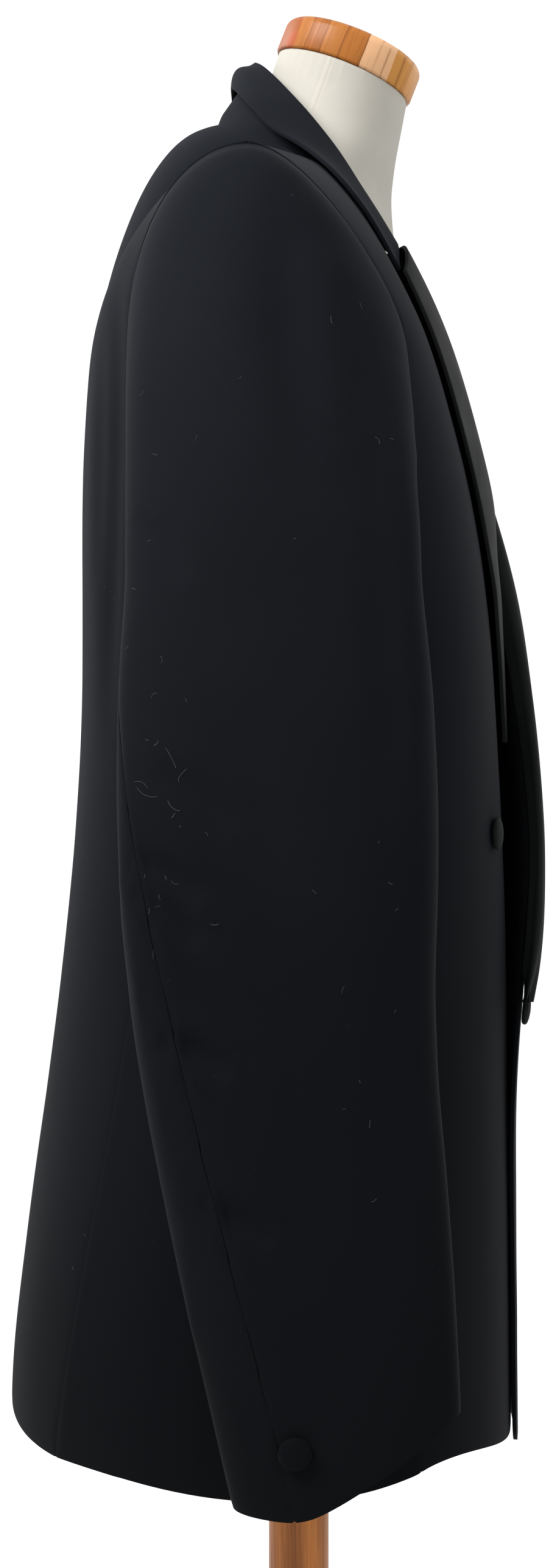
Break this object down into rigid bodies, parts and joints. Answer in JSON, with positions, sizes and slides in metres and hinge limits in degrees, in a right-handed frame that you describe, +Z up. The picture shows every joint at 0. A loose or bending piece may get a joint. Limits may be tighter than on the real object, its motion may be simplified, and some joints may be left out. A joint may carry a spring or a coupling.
{
  "type": "double-breasted tuxedo jacket on a dress form",
  "caption": "Black double-breasted tuxedo jacket with satin-faced lapels, buttoned on a limbless cream dress form with a wooden neck cap, pole and round base.",
  "frame": {"origin": "on the floor, at the centre of the base's underside, under the pole's axis", "axes": "+Z up, -Y the wearer's front, +X the wearer's left"},
  "size_m": [0.5274, 0.38, 1.5854],
  "materials": {
    "wool": "fine smooth black wool",
    "satin": "black satin with a soft sheen",
    "linen": "cream linen cover",
    "wood": "brown varnished wood",
    "cap_wood": "honey varnished wood"
  },
  "bodies": {
    "root": {"back_left": "wool", "back_right": "wool", "side_left": "wool", "side_right": "wool", "front_left": "wool", "front_right": "wool", "top_sleeve_left": "wool", "top_sleeve_right": "wool", "under_sleeve_left": "wool", "under_sleeve_right": "wool", "lapel_left": "satin", "lapel_right": "satin", "under_collar": "wool", "collar": "wool", "button_upper_left": "satin", "button_upper_right": "satin", "button_lower_left": "satin", "button_lower_right": "satin", "cuff_button_left": "satin", "cuff_button_right": "satin", "form_torso": "linen", "neck_cap": "cap_wood", "pole": "wood", "base": "wood"}
  },
  "joints": []
}
